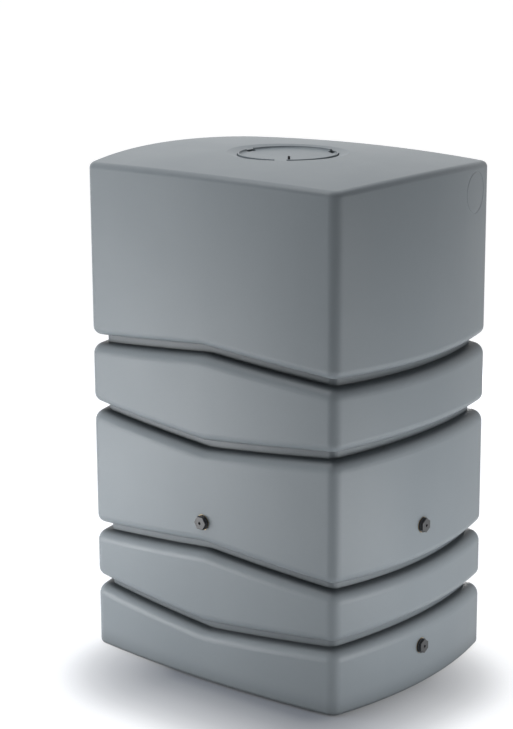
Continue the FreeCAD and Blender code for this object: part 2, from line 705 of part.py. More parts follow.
def outlet_plug(name, face, level):
    """Screw plug: cored shank, round flange and hexagon head with a dimple."""
    body = new_body(name + "_plug")
    profile = new_sketch(body, name + "_plug_profile", "XZ_Plane")
    seat = size("plug_seal_thickness")
    seat_expression = "Sizes.plug_seal_thickness"
    top = size("plug_seal_thickness", "plug_flange_thickness")
    top_expression = "Sizes.plug_seal_thickness + Sizes.plug_flange_thickness"
    end = seat - size("plug_shank_length")
    end_expression = "Sizes.plug_seal_thickness - Sizes.plug_shank_length"
    core_end_expression = "Sizes.plug_seal_thickness - Sizes.plug_core_end"
    closed_polygon(profile, [
        (size("plug_core_radius"), "Sizes.plug_core_radius", end, end_expression),
        (size("thread_radius"), "Sizes.thread_radius", end, end_expression),
        (size("thread_radius"), "Sizes.thread_radius", seat, seat_expression),
        (size("plug_flange_radius"), "Sizes.plug_flange_radius", seat, seat_expression),
        (size("plug_flange_radius"), "Sizes.plug_flange_radius", top, top_expression),
        (0, "0", top, top_expression),
        (0, "0", seat - size("plug_core_end"), core_end_expression),
        (size("plug_core_radius"), "Sizes.plug_core_radius", seat - size("plug_core_end"),
         core_end_expression),
    ])
    revolve(body, name + "_plug_turned", profile)
    hexagon = new_sketch(body, name + "_plug_hexagon_profile", "XY_Plane")
    hexagon.setExpression("AttachmentOffset.Base.z", top_expression)
    corner = size("plug_hexagon_flats") / math.sqrt(3)
    points = []
    for i in range(6):
        turn = math.radians(60 * i)
        expression = "Sizes.plug_hexagon_flats / sqrt(3) * %s(%d deg)"
        x_expression = expression % ("cos", 60 * i)
        y_expression = expression % ("sin", 60 * i) if i % 3 else "0"
        points.append((corner * math.cos(turn), x_expression, corner * math.sin(turn), y_expression))
    closed_polygon(hexagon, points)
    head = pad(body, name + "_plug_hexagon", hexagon, "Sizes.plug_hexagon_height")
    doc.recompute()
    head_top = top + size("plug_hexagon_height")
    rim = edges_where(head.Shape, lambda edge: all(abs(p.z - head_top) < 0.01 for p in edge_points(edge)))
    fillet(body, name + "_plug_head_edge", head, rim, "Sizes.plug_edge_radius")
    dimple = new_sketch(body, name + "_plug_dimple_profile", "XZ_Plane")
    floor_expression = top_expression + " + Sizes.plug_hexagon_height - Sizes.plug_dimple_depth"
    above_expression = top_expression + " + Sizes.plug_hexagon_height + Sizes.plug_dimple_depth"
    floor = head_top - size("plug_dimple_depth")
    above = head_top + size("plug_dimple_depth")
    closed_polygon(dimple, [
        (0, "0", floor, floor_expression),
        (size("plug_dimple_radius"), "Sizes.plug_dimple_radius", floor, floor_expression),
        (size("plug_dimple_radius"), "Sizes.plug_dimple_radius", above, above_expression),
        (0, "0", above, above_expression),
    ])
    revolve(body, name + "_plug_dimple", dimple, cut=True)
    face_outward(body, face, level)
    return body


# Lid


def lid():
    """Screw lid: plate with a raised rim, skirt that goes over the neck, three finger notches."""
    body = new_body("lid")
    profile = new_sketch(body, "lid_profile", "XZ_Plane")
    top = size("lid_top_level")
    top_expression = "Sizes.lid_top_level"
    rim_top = top + size("lid_rim_height")
    rim_top_expression = "Sizes.lid_top_level + Sizes.lid_rim_height"
    rim_inner = size("lid_radius") - size("lid_rim_width")
    rim_inner_expression = "Sizes.lid_radius - Sizes.lid_rim_width"
    under = top - size("lid_plate")
    under_expression = "Sizes.lid_top_level - Sizes.lid_plate"
    foot = under - size("lid_skirt_length")
    foot_expression = under_expression + " - Sizes.lid_skirt_length"
    inner = size("neck_outer_radius", "lid_thread_gap")
    inner_expression = plus("neck_outer_radius", "lid_thread_gap")
    outer = inner + size("lid_skirt_wall")
    outer_expression = inner_expression + " + Sizes.lid_skirt_wall"
    closed_polygon(profile, [
        (0, "0", under, under_expression),
        (inner, inner_expression, under, under_expression),
        (inner, inner_expression, foot, foot_expression),
        (outer, outer_expression, foot, foot_expression),
        (outer, outer_expression, under, under_expression),
        (size("lid_radius"), "Sizes.lid_radius", under, under_expression),
        (size("lid_radius"), "Sizes.lid_radius", rim_top, rim_top_expression),
        (rim_inner, rim_inner_expression, rim_top, rim_top_expression),
        (rim_inner, rim_inner_expression, top, top_expression),
        (0, "0", top, top_expression),
    ])
    turned = revolve(body, "lid_turned", profile)
    doc.recompute()
    rim = edges_where(turned.Shape, lambda edge: all(abs(p.z - rim_top) < 0.01 for p in edge_points(edge)))
    fillet(body, "lid_rim_edge", turned, rim, "Sizes.lid_edge_radius")
    doc.recompute()
    notch_profile = new_sketch(body, "notch_profile", "XY_Plane")
    notch_profile.setExpression("AttachmentOffset.Base.z", rim_top_expression)
    notch_profile.setExpression("AttachmentOffset.Rotation.Angle", "Sizes.first_notch_angle")
    half = size("notch_width") / 2
    outside_expression = "Sizes.lid_radius + Sizes.lid_plate"
    outside = size("lid_radius", "lid_plate")
    closed_polygon(notch_profile, [
        (size("notch_floor_radius"), "Sizes.notch_floor_radius", -half, "-Sizes.notch_width / 2"),
        (outside, outside_expression, -half, "-Sizes.notch_width / 2"),
        (outside, outside_expression, half, "Sizes.notch_width / 2"),
        (size("notch_floor_radius"), "Sizes.notch_floor_radius", half, "Sizes.notch_width / 2"),
    ])
    notch = body.newObject("PartDesign::Pocket", "notch")
    notch.Profile = notch_profile
    notch.setExpression("Length", "Sizes.lid_plate * 1.2 + Sizes.lid_rim_height")
    doc.recompute()
    pattern = body.newObject("PartDesign::PolarPattern", "notches")
    pattern.Originals = [notch]
    pattern.Axis = (notch_profile, ["N_Axis"])
    pattern.Angle = 360.0
    pattern.setExpression("Occurrences", "Sizes.notch_count")
    body.Tip = pattern
    doc.recompute()
    hole_profile = new_sketch(body, "lock_screw_hole_profile", "XY_Plane")
    hole_profile.setExpression("AttachmentOffset.Base.z", "Sizes.lid_top_level")
    hole_profile.setExpression("AttachmentOffset.Rotation.Angle", "Sizes.lock_screw_angle")
    centre = Vector(size("lock_screw_circle"), 0, 0)
    circle = Part.Circle(centre, Vector(0, 0, 1), size("lock_screw_hole_radius"))
    hole_profile.addGeometry(circle, False)
    place_point(hole_profile, 0, 3, centre.x, "Sizes.lock_screw_circle", 0, "0")
    dimension(hole_profile, Sketcher.Constraint("Radius", 0, size("lock_screw_hole_radius")),
              "Sizes.lock_screw_hole_radius")
    hole = body.newObject("PartDesign::Pocket", "lock_screw_hole")
    hole.Profile = hole_profile
    hole.setExpression("Length", "Sizes.lid_plate * 1.2")
    body.Tip = hole
    doc.recompute()
    return body


def lid_seal():
    """Rubber ring between the neck's end and the lid."""
    body = new_body("lid_seal")
    profile = new_sketch(body, "lid_seal_profile", "XZ_Plane")
    top_expression = "Sizes.lid_top_level - Sizes.lid_plate"
    top = size("lid_top_level") - size("lid_plate")
    foot = top - size("lid_seal_thickness")
    foot_expression = top_expression + " - Sizes.lid_seal_thickness"
    inner = size("neck_inner_radius", "lid_seal_inset")
    inner_expression = "Sizes.neck_inner_radius + Sizes.lid_seal_inset"
    outer = size("neck_outer_radius") - size("lid_seal_inset")
    outer_expression = "Sizes.neck_outer_radius - Sizes.lid_seal_inset"
    closed_polygon(profile, [
        (inner, inner_expression, foot, foot_expression),
        (outer, outer_expression, foot, foot_expression),
        (outer, outer_expression, top, top_expression),
        (inner, inner_expression, top, top_expression),
    ])
    revolve(body, "lid_seal_ring", profile)
    return body


def lock_screw():
    """Small screw that stands in the lid beside a notch, backed out so that the lid turns."""
    body = new_body("lid_lock_screw")
    profile = new_sketch(body, "lock_screw_profile", "XZ_Plane")
    shank = (size("lock_screw_shank_radius"), "Sizes.lock_screw_shank_radius")
    head = (size("lock_screw_head_radius"), "Sizes.lock_screw_head_radius")
    closed_polygon(profile, [
        (0, "0", -size("lock_screw_shank_length"), "-Sizes.lock_screw_shank_length"),
        shank + (-size("lock_screw_shank_length"), "-Sizes.lock_screw_shank_length"),
        shank + (0, "0"),
        head + (0, "0"),
        head + (size("lock_screw_head_height"), "Sizes.lock_screw_head_height"),
        (0, "0", size("lock_screw_head_height"), "Sizes.lock_screw_head_height"),
    ])
    revolve(body, "lock_screw_turned", profile)
    doc.recompute()
    slot_profile = new_sketch(body, "lock_screw_slot_profile", "XZ_Plane")
    half = size("lock_screw_slot_width") / 2
    top = size("lock_screw_head_height")
    floor_expression = "Sizes.lock_screw_head_height - Sizes.lock_screw_slot_depth"
    above_expression = "Sizes.lock_screw_head_height + Sizes.lock_screw_slot_depth"
    floor = top - size("lock_screw_slot_depth")
    above = top + size("lock_screw_slot_depth")
    closed_polygon(slot_profile, [
        (-half, "-Sizes.lock_screw_slot_width / 2", floor, floor_expression),
        (half, "Sizes.lock_screw_slot_width / 2", floor, floor_expression),
        (half, "Sizes.lock_screw_slot_width / 2", above, above_expression),
        (-half, "-Sizes.lock_screw_slot_width / 2", above, above_expression),
    ])
    slot = body.newObject("PartDesign::Pocket", "lock_screw_slot")
    slot.Profile = slot_profile
    slot.Midplane = True
    slot.setExpression("Length", "Sizes.lock_screw_head_radius * 3")
    body.setExpression("Placement.Base.x", "Sizes.lock_screw_circle * cos(Sizes.lock_screw_angle * 1 deg)")
    body.setExpression("Placement.Base.y", "Sizes.lock_screw_circle * sin(Sizes.lock_screw_angle * 1 deg)")
    body.setExpression("Placement.Base.z", "Sizes.lid_top_level")
    return body


# Tank, put together


def pipe_mark(side):
    """Shallow ring groove that follows the bowed side, as a solid to cut away."""
    outer = doc.addObject("Part::Cylinder", side + "_pipe_mark_disc")
    inner = doc.addObject("Part::Cylinder", side + "_pipe_mark_centre")
    sign = "" if side == "right" else "-"
    for cylinder, radius in ((outer, "Sizes.pipe_mark_radius + Sizes.pipe_mark_width / 2"),
                             (inner, "Sizes.pipe_mark_radius - Sizes.pipe_mark_width / 2")):
        cylinder.setExpression("Radius", radius)
        cylinder.setExpression("Height", "Sizes.overall_width / 4")
        turn = 90 if side == "right" else -90
        cylinder.Placement = FreeCAD.Placement(Vector(), FreeCAD.Rotation(Vector(0, 1, 0), turn))
        cylinder.setExpression("Placement.Base.x", sign + "Sizes.overall_width * 3 / 8")
        cylinder.setExpression("Placement.Base.y", "Sizes.pipe_mark_offset")
        cylinder.setExpression("Placement.Base.z", "Sizes.pipe_mark_level")
    ring = doc.addObject("Part::Cut", side + "_pipe_mark_ring")
    ring.Base = outer
    ring.Tool = inner
    kept = new_body(side + "_pipe_mark_backing")
    outline = outline_sketch(kept, side + "_pipe_mark_backing_outline", ("pipe_mark_depth",),
                             size("corner_radius"), "Sizes.corner_radius")
    pad(kept, side + "_pipe_mark_backing_block", outline, "Sizes.crown_height")
    mark = doc.addObject("Part::Cut", side + "_pipe_mark")
    mark.Base = ring
    mark.Tool = kept
    return mark


def tank_body():
    """Moulded tank: outside less inside, with the bosses left standing and the inserts' seats cut."""
    outside = outer_form()
    inside = inner_form()
    bosses = doc.addObject("Part::MultiFuse", "outlet_bosses")
    bosses.Shapes = [outlet_boss(*outlet) for outlet in OUTLETS]
    space = doc.addObject("Part::Cut", "water_space")
    space.Base = inside
    space.Tool = bosses
    hollow = doc.addObject("Part::MultiFuse", "tank_hollows")
    sockets = [outlet_socket(*outlet) for outlet in OUTLETS]
    marks = [pipe_mark("right"), pipe_mark("left")]
    hollow.Shapes = [space] + sockets + marks
    tank = doc.addObject("Part::Cut", "tank_body")
    tank.Base = outside
    tank.Tool = hollow
    return tank


pieces = [tank_body(), lid(), lid_seal(), lock_screw()]
for outlet in OUTLETS:
    pieces.append(outlet_insert(*outlet))
    pieces.append(outlet_seal(*outlet))
    pieces.append(outlet_plug(*outlet))
doc.recompute()

for item in doc.Objects:
    if "Invalid" in item.State or "Error" in item.State:
        raise RuntimeError("%s failed: %s" % (item.Label, item.State))
for piece in pieces:
    if piece.Shape.isNull() or not piece.Shape.isValid():
        raise RuntimeError(piece.Label + " has no valid shape")

os.makedirs("parts", exist_ok=True)
for piece in pieces:
    piece.Shape.exportStep("parts/%s.step" % piece.Label)
    box = piece.Shape.BoundBox
    print("%-20s solids %d volume %.0f  x %.1f %.1f  y %.1f %.1f  z %.1f %.1f" % (
        piece.Label, len(piece.Shape.Solids), piece.Shape.Volume,
        box.XMin, box.XMax, box.YMin, box.YMax, box.ZMin, box.ZMax))
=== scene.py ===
"""Looks of the rain tank: materials, screw threads, floor, light and camera.

Metres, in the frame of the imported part: +Z up, the wide front at -Y, narrow sides at +X and -X.
"""

import math

import bmesh
import bpy
from mathutils import Matrix, Vector


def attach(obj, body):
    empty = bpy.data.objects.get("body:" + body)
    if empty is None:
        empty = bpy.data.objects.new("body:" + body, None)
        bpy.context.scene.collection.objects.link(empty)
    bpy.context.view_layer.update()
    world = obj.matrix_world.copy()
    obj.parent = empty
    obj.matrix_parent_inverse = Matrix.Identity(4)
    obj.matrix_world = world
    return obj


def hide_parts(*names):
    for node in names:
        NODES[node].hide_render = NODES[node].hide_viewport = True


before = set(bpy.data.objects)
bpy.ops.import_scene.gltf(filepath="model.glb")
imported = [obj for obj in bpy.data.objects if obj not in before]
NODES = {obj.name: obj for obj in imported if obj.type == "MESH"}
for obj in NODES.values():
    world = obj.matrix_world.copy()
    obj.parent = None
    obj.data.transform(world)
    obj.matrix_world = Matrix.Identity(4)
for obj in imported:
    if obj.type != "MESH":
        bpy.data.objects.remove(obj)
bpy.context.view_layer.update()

# Camera, as the photograph was taken; angles in radians

PHOTO_HEIGHT = 729
CAMERA_PLACE = Vector((2.8459, -3.5741, 1.8407))
CAMERA_YAW = 0.68879387
CAMERA_PITCH = 0.24528769
CAMERA_ROLL = -0.0052558
FOCAL_PIXELS = 2000.107
SENSOR_HEIGHT = 24.0
FARTHEST_SEEN = 200.0

# Colours, as linear light

WHITE = (1.0, 1.0, 1.0)
TANK_GREY = (0.238, 0.268, 0.290)
TANK_GREY_DEEP = (0.223, 0.253, 0.275)
POWDER_SPECK = (0.93, 0.93, 0.935)
LID_TONE = 1.03
PLUG_BLACK = (0.022, 0.023, 0.025)
SCREW_BLACK = (0.010, 0.010, 0.011)
BLACK_WEAR = 1.7
RUBBER_BLACK = (0.018, 0.018, 0.019)
RUBBER_BLOOM = (0.045, 0.045, 0.046)
BRASS = (0.66, 0.47, 0.20)
BRASS_DULL = (0.46, 0.33, 0.15)

# Painted shade: the colour is darkened by ambient occlusion, below which height, how far it is felt,
# and the tone it ends at. On the tank it paints shade in the grooves, which all lie lower than the
# big top panel, and on the lid in the finger notches, which lie lower than the plate's top.

TANK_PAINTED_SHADE = (0.83, 0.07, 0.42)
LID_PAINTED_SHADE = (1.1924, 0.03, 0.08)
PAINTED_SHADE_SAMPLES = 8
PAINTED_SHADE_FULL = 0.25
PAINTED_SHADE_NONE = 0.85


# Helpers for node trees


def node_tree(name):
    """New material and its tree with a Principled shader wired to the output."""
    material = bpy.data.materials.new(name)
    material.use_nodes = True
    tree = material.node_tree
    tree.nodes.clear()
    output = tree.nodes.new("ShaderNodeOutputMaterial")
    shader = tree.nodes.new("ShaderNodeBsdfPrincipled")
    tree.links.new(shader.outputs["BSDF"], output.inputs["Surface"])
    return material, tree, shader


def noise(tree, scale, detail=2.0, roughness=0.5, stretch=(1.0, 1.0, 1.0)):
    """Noise in the part's own metres; scale is in cycles for each metre."""
    coordinates = tree.nodes.new("ShaderNodeTexCoord")
    mapping = tree.nodes.new("ShaderNodeMapping")
    mapping.inputs["Scale"].default_value = stretch
    texture = tree.nodes.new("ShaderNodeTexNoise")
    texture.inputs["Scale"].default_value = scale
    texture.inputs["Detail"].default_value = detail
    texture.inputs["Roughness"].default_value = roughness
    tree.links.new(coordinates.outputs["Object"], mapping.inputs["Vector"])
    tree.links.new(mapping.outputs["Vector"], texture.inputs["Vector"])
    return texture.outputs["Fac"]


def own_place(tree):
    """Sockets of the point's X, Y and Z in the part's own metres."""
    coordinates = tree.nodes.new("ShaderNodeTexCoord")
    apart = tree.nodes.new("ShaderNodeSeparateXYZ")
    tree.links.new(coordinates.outputs["Object"], apart.inputs["Vector"])
    return apart.outputs


def ramp(tree, factor, low, high, start, end):
    """Colour ramp from low to high between two values of the factor."""
    node = tree.nodes.new("ShaderNodeValToRGB")
    node.color_ramp.elements[0].position = start
    node.color_ramp.elements[0].color = (*low, 1.0)
    node.color_ramp.elements[1].position = end
    node.color_ramp.elements[1].color = (*high, 1.0)
    tree.links.new(factor, node.inputs["Fac"])
    return node.outputs["Color"]


def spread(tree, factor, low, high):
    """Maps a factor of 0 to 1 on to low to high."""
    node = tree.nodes.new("ShaderNodeMapRange")
    node.inputs["To Min"].default_value = low
    node.inputs["To Max"].default_value = high
    tree.links.new(factor, node.inputs["Value"])
    return node.outputs["Result"]


def bump(tree, height, strength, distance, normal=None):
    """Fine relief on the surface's normal, or on one that already has relief."""
    node = tree.nodes.new("ShaderNodeBump")
    node.inputs["Strength"].default_value = strength
    node.inputs["Distance"].default_value = distance
    tree.links.new(height, node.inputs["Height"])
    if normal is not None:
        tree.links.new(normal, node.inputs["Normal"])
    return node.outputs["Normal"]


def multiply(tree, first, second):
    """Product of two colours."""
    node = tree.nodes.new("ShaderNodeMix")
    node.data_type = "RGBA"
    node.blend_type = "MULTIPLY"
    node.inputs["Factor"].default_value = 1.0
    tree.links.new(first, node.inputs["A"])
    tree.links.new(second, node.inputs["B"])
    return node.outputs["Result"]


def fade_to_white(tree, colour, factor):
    """The colour where the factor is 0, white where it is 1."""
    node = tree.nodes.new("ShaderNodeMix")
    node.data_type = "RGBA"
    node.inputs["B"].default_value = (*WHITE, 1.0)
    tree.links.new(factor, node.inputs["Factor"])
    tree.links.new(colour, node.inputs["A"])
    return node.outputs["Result"]


def arithmetic(tree, operation, first, second=None):
    """One scalar operation; either value may be a number or a socket."""
    node = tree.nodes.new("ShaderNodeMath")
    node.operation = operation
    for place, value in enumerate((first, second)):
        if isinstance(value, (int, float)):
            node.inputs[place].default_value = value
        elif value is not None:
            tree.links.new(value, node.inputs[place])
    return node.outputs["Value"]


# Materials of the pieces


def paint_shade(tree, base, facts):
    """Paints shade into the colour where ambient occlusion finds shelter, below a height. A lifted
    lid has no shelter and so keeps its colour.
    """
    below, reach, tone = facts
    occlusion = tree.nodes.new("ShaderNodeAmbientOcclusion")
    occlusion.samples = PAINTED_SHADE_SAMPLES
    occlusion.inputs["Distance"].default_value = reach
    shade = ramp(tree, occlusion.outputs["AO"], (tone, tone, tone), WHITE, PAINTED_SHADE_FULL, PAINTED_SHADE_NONE)
    above = arithmetic(tree, "GREATER_THAN", own_place(tree)["Z"], below)
    return multiply(tree, base, fade_to_white(tree, shade, above))


def tank_plastic(name, shade_facts, tone=1.0):
    """Satin through-coloured moulded plastic: fine powder grain, faint flow clouds, and painted shade
    in its recesses.
    """
    material, tree, shader = node_tree(name)
    deep = tuple(tone * part for part in TANK_GREY_DEEP)
    light = tuple(tone * part for part in TANK_GREY)
    clouds = noise(tree, scale=2.4, detail=3.0, roughness=0.55, stretch=(1.0, 1.0, 0.6))
    base = ramp(tree, clouds, deep, light, start=0.35, end=0.65)
    powder = noise(tree, scale=1400.0, roughness=0.6)
    speckle = ramp(tree, powder, POWDER_SPECK, WHITE, start=0.3, end=0.62)
    # Painted shade: the colour darkens in the grooves and finger notches by ambient occlusion.
    colour = paint_shade(tree, multiply(tree, base, speckle), shade_facts)
    tree.links.new(colour, shader.inputs["Base Color"])
    sheen = spread(tree, noise(tree, scale=9.0, detail=3.0), low=0.36, high=0.46)
    tree.links.new(sheen, shader.inputs["Roughness"])
    waviness = bump(tree, noise(tree, scale=14.0, detail=1.0), strength=0.12, distance=0.0012)
    fine = noise(tree, scale=900.0, roughness=0.6)
    grain = bump(tree, fine, strength=0.1, distance=0.00012, normal=waviness)
    tree.links.new(grain, shader.inputs["Normal"])
    shader.inputs["Specular IOR Level"].default_value = 0.25
    return material


def black_plastic(name, colour, low_roughness, high_roughness):
    """Injection-moulded black plastic with a fine spark-eroded grain."""
    material, tree, shader = node_tree(name)
    worn = tuple(BLACK_WEAR * part for part in colour)
    tone = ramp(tree, noise(tree, scale=260.0), colour, worn, start=0.35, end=0.75)
    tree.links.new(tone, shader.inputs["Base Color"])
    shine = spread(tree, noise(tree, scale=420.0), low_roughness, high_roughness)
    tree.links.new(shine, shader.inputs["Roughness"])
    grain = bump(tree, noise(tree, scale=2200.0), strength=0.15, distance=0.00008)
    tree.links.new(grain, shader.inputs["Normal"])
    return material


def rubber(name):
    """Matt black rubber with a dusty bloom."""
    material, tree, shader = node_tree(name)
    dust = noise(tree, scale=180.0, detail=4.0, roughness=0.65)
    bloom = ramp(tree, dust, RUBBER_BLACK, RUBBER_BLOOM, start=0.4, end=0.8)
    tree.links.new(bloom, shader.inputs["Base Color"])
    sheen = spread(tree, noise(tree, scale=600.0), low=0.62, high=0.8)
    tree.links.new(sheen, shader.inputs["Roughness"])
    grain = bump(tree, noise(tree, scale=1500.0, detail=3.0), strength=0.25, distance=0.0001)
    tree.links.new(grain, shader.inputs["Normal"])
    return material


def brass(name):
    """Turned brass, dull in patches."""
    material, tree, shader = node_tree(name)
    tarnish = noise(tree, scale=60.0, detail=4.0, roughness=0.6)
    patches = ramp(tree, tarnish, BRASS_DULL, BRASS, start=0.35, end=0.6)
    tree.links.new(patches, shader.inputs["Base Color"])
    shader.inputs["Metallic"].default_value = 1.0
    sheen = spread(tree, noise(tree, scale=90.0, detail=3.0), low=0.28, high=0.5)
    tree.links.new(sheen, shader.inputs["Roughness"])
    grain = bump(tree, noise(tree, scale=1800.0), strength=0.2, distance=0.00006)
    tree.links.new(grain, shader.inputs["Normal"])
    return material


def dress(node, material):
    """Gives a CAD node its material."""
    mesh = NODES[node].data
    mesh.materials.clear()
    mesh.materials.append(material)


def dress_all():
    """Dresses every CAD node; gives back the materials that the added pieces share."""
    # Both greys carry painted shade in their recesses.
    grey = tank_plastic("tank_grey_plastic", TANK_PAINTED_SHADE)
    lid_grey = tank_plastic("lid_grey_plastic", LID_PAINTED_SHADE, LID_TONE)
    black = black_plastic("plug_black_plastic", PLUG_BLACK, 0.3, 0.42)
    screw = black_plastic("screw_black_plastic", SCREW_BLACK, 0.35, 0.5)
    seal = rubber("seal_black_rubber")
    bush = brass("insert_turned_brass")
    dress("tank_body", grey)
    dress("lid", lid_grey)
    dress("lid_lock_screw", screw)
    for node in NODES:
        for ending, material in (("_seal", seal), ("_plug", black), ("_insert", bush)):
            if node.endswith(ending):
                dress(node, material)
    return grey, lid_grey, black, bush


# Helpers for added meshes

SHARP_ANGLE = math.radians(32.0)
FULL_TURN = 2 * math.pi


def round_point(radius, angle, height):
    """Point at a radius and an angle about the tank's middle."""
    return radius * math.cos(angle), radius * math.sin(angle), height


def sweep(name, rows, closed=False):
    """Closed mesh through rows of points, each row one section. A run that isn't closed in itself
    gets a cap at both ends."""
    count, many = len(rows), len(rows[0])
    last = (count - 1) * many
    faces = [] if closed else [tuple(range(many)), tuple(range(last, last + many))]
    for row in range(count if closed else count - 1):
        here, ahead = row * many, (row + 1) % count * many
        for corner in range(many):
            beside = (corner + 1) % many
            faces.append((here + corner, here + beside, ahead + beside, ahead + corner))
    mesh = bpy.data.meshes.new(name)
    mesh.from_pydata([corner for row in rows for corner in row], [], faces)
    shape = bmesh.new()
    shape.from_mesh(mesh)
    bmesh.ops.recalc_face_normals(shape, faces=shape.faces)
    shape.to_mesh(mesh)
    shape.free()
    return mesh


def link_mesh(mesh, material):
    """Object of a mesh under the mesh's name, smooth but for its sharp edges."""
    mesh.shade_smooth()
    mesh.set_sharp_from_angle(angle=SHARP_ANGLE)
    mesh.materials.clear()
    mesh.materials.append(material)
    piece = bpy.data.objects.new(mesh.name, mesh)
    bpy.context.scene.collection.objects.link(piece)
    return piece


# Coarse thread between neck and lid: three starts, right-handed, one lead for each turn of the lid

THREAD_LEAD = 0.024
THREAD_STARTS = 3
RIDGE_ROOT_HALF = 0.0018
RIDGE_TIP_HALF = 0.0009
RIDGE_SUNK = 0.0005
RIDGE_RUN_OUT = 0.06
RIDGE_START = 0.03
RIDGE_STEPS = 120

# radius of the wall, radius of the crest, lowest and highest point of the ridge's middle
NECK_RIDGE = (0.0965, 0.0992, 1.1615, 1.1815)
LID_RIDGE = (0.0997, 0.0970, 1.1655, 1.1845)


def thread_ridge(name, body, ridge, turn, material):
    """One ridge that climbs from low to high on a wall's radius and runs out at both ends."""
    wall, crest, low, high = ridge
    foot = wall - math.copysign(RIDGE_SUNK, crest - wall)
    rows = []
    for step in range(RIDGE_STEPS + 1):
        share = step / RIDGE_STEPS
        height = low + (high - low) * share
        angle = turn + FULL_TURN * (high - low) * share / THREAD_LEAD
        grown = min(1.0, RIDGE_START + min(share, 1.0 - share) / RIDGE_RUN_OUT)
        tip = foot + (crest - foot) * grown
        section = ((foot, -RIDGE_ROOT_HALF), (foot, RIDGE_ROOT_HALF),
                   (tip, RIDGE_TIP_HALF), (tip, -RIDGE_TIP_HALF))
        rows.append([round_point(radius, angle, height + aside) for radius, aside in section])
    piece = link_mesh(sweep(name, rows), material)
    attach(piece, body)


def make_lid_thread(tank_grey, lid_grey):
    """Ridges outside the neck, and ridges inside the lid's skirt that run half-way between them."""
    for start in range(THREAD_STARTS):
        turn = FULL_TURN * start / THREAD_STARTS
        thread_ridge("neck_thread_%d" % (start + 1), "tank", NECK_RIDGE, turn, tank_grey)
        thread_ridge("lid_thread_%d" % (start + 1), "lid", LID_RIDGE, turn, lid_grey)


# Moulded radius between the lid's plate and its raised rim, left out at the finger notches

COVE_RADIUS = 0.0045
COVE_SUNK = 0.0005
COVE_CURVE_STEPS = 6
COVE_RUN_STEPS = 60
RIM_INNER = 0.112
PLATE_HEIGHT = 1.1925
NOTCH_HALF = 0.0145
NOTCH_ANGLES = (60.0, 180.0, 300.0)
NOTCH_SPACING = 120.0


def cove_section():
    """Half section of the cove as radius and height, sunk a little in plate and rim."""
    inner, top = RIM_INNER - COVE_RADIUS, PLATE_HEIGHT + COVE_RADIUS
    section = []
    for step in range(COVE_CURVE_STEPS + 1):
        bend = math.radians(90.0 * step / COVE_CURVE_STEPS)
        section.append((inner + COVE_RADIUS * math.sin(bend), top - COVE_RADIUS * math.cos(bend)))
    return section + [(RIM_INNER + COVE_SUNK, top), (RIM_INNER + COVE_SUNK, PLATE_HEIGHT - COVE_SUNK),
                      (inner, PLATE_HEIGHT - COVE_SUNK)]


def make_rim_cove(lid_grey):
    """Three runs of the cove, each from one notch to the next."""
    section = cove_section()
    clear = math.asin(NOTCH_HALF / (RIM_INNER - COVE_RADIUS))
    for number, notch in enumerate(NOTCH_ANGLES, start=1):
        first = math.radians(notch) + clear
        last = math.radians(notch + NOTCH_SPACING) - clear
        rows = []
        for step in range(COVE_RUN_STEPS + 1):
            angle = first + (last - first) * step / COVE_RUN_STEPS
            rows.append([round_point(radius, angle, height) for radius, height in section])
        piece = link_mesh(sweep("lid_rim_cove_%d" % number, rows), lid_grey)
        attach(piece, "lid")


# Pipe marks: the moulded line is rounded out, so it is shallower than the groove in the solid

MARK_CENTRE = (0.204, 1.117)
MARK_RADIUS = 0.0475
MARK_HALF_WIDTH = 0.0015
MARK_EDGE_DEPTH = 0.0001
MARK_DEPTH = 0.0008
MARK_SUNK = 0.0016
MARK_STEPS = 96
SIDE_BOW = 1.032
SIDE_REACH = 0.401

# share of the half width, and depth under the tank's face
MARK_SECTION = ((-1.0, MARK_EDGE_DEPTH), (0.0, MARK_DEPTH), (1.0, MARK_EDGE_DEPTH),
                (1.0, MARK_SUNK), (-1.0, MARK_SUNK))


def make_pipe_marks(tank_grey):
    """A ring in each mark's groove that follows the bowed side and leaves a shallow line open."""
    for side, sign in (("right", 1.0), ("left", -1.0)):
        rows = []
        for step in range(MARK_STEPS):
            angle = FULL_TURN * step / MARK_STEPS
            row = []
            for across, depth in MARK_SECTION:
                radius = MARK_RADIUS + MARK_HALF_WIDTH * across
                y = MARK_CENTRE[0] + radius * math.cos(angle)
                z = MARK_CENTRE[1] + radius * math.sin(angle)
                surface = SIDE_REACH - SIDE_BOW + math.sqrt(SIDE_BOW ** 2 - y ** 2)
                row.append((sign * (surface - depth), y, z))
            rows.append(row)
        piece = link_mesh(sweep(side + "_pipe_mark_line", rows, closed=True), tank_grey)
        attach(piece, "tank")


# Pipe threads of the outlets, cut into the plug's shank and into the bore of the brass insert

# point on the tank's face and direction out of it
OUTLETS = {
    "front_tap": ((0.0, -0.3135, 0.3885), (0.0, -1.0, 0.0)),
    "right_upper": ((0.400891, -0.015, 0.3885), (1.0, 0.0, 0.0)),
    "right_lower": ((0.400891, -0.015, 0.097), (1.0, 0.0, 0.0)),
    "left_upper": ((-0.400891, -0.015, 0.3885), (-1.0, 0.0, 0.0)),
    "left_lower": ((-0.400891, -0.015, 0.097), (-1.0, 0.0, 0.0)),
}
PIPE_PITCH = 0.001814
PIPE_DEPTH = 0.0009
PIPE_STEPS = 48
PIPE_RUN_OUT = 0.0014
SHANK_RADIUS = 0.0131
BORE_RADIUS = 0.0132
WALL_TOLERANCE = 0.00002
SIDEWAYS = 0.5
MERGE_DISTANCE = 0.000001

# share of the pitch, and share of the depth
PIPE_SECTION = ((0.0, 0.0), (0.2, 0.0), (0.5, 1.0), (0.7, 1.0))


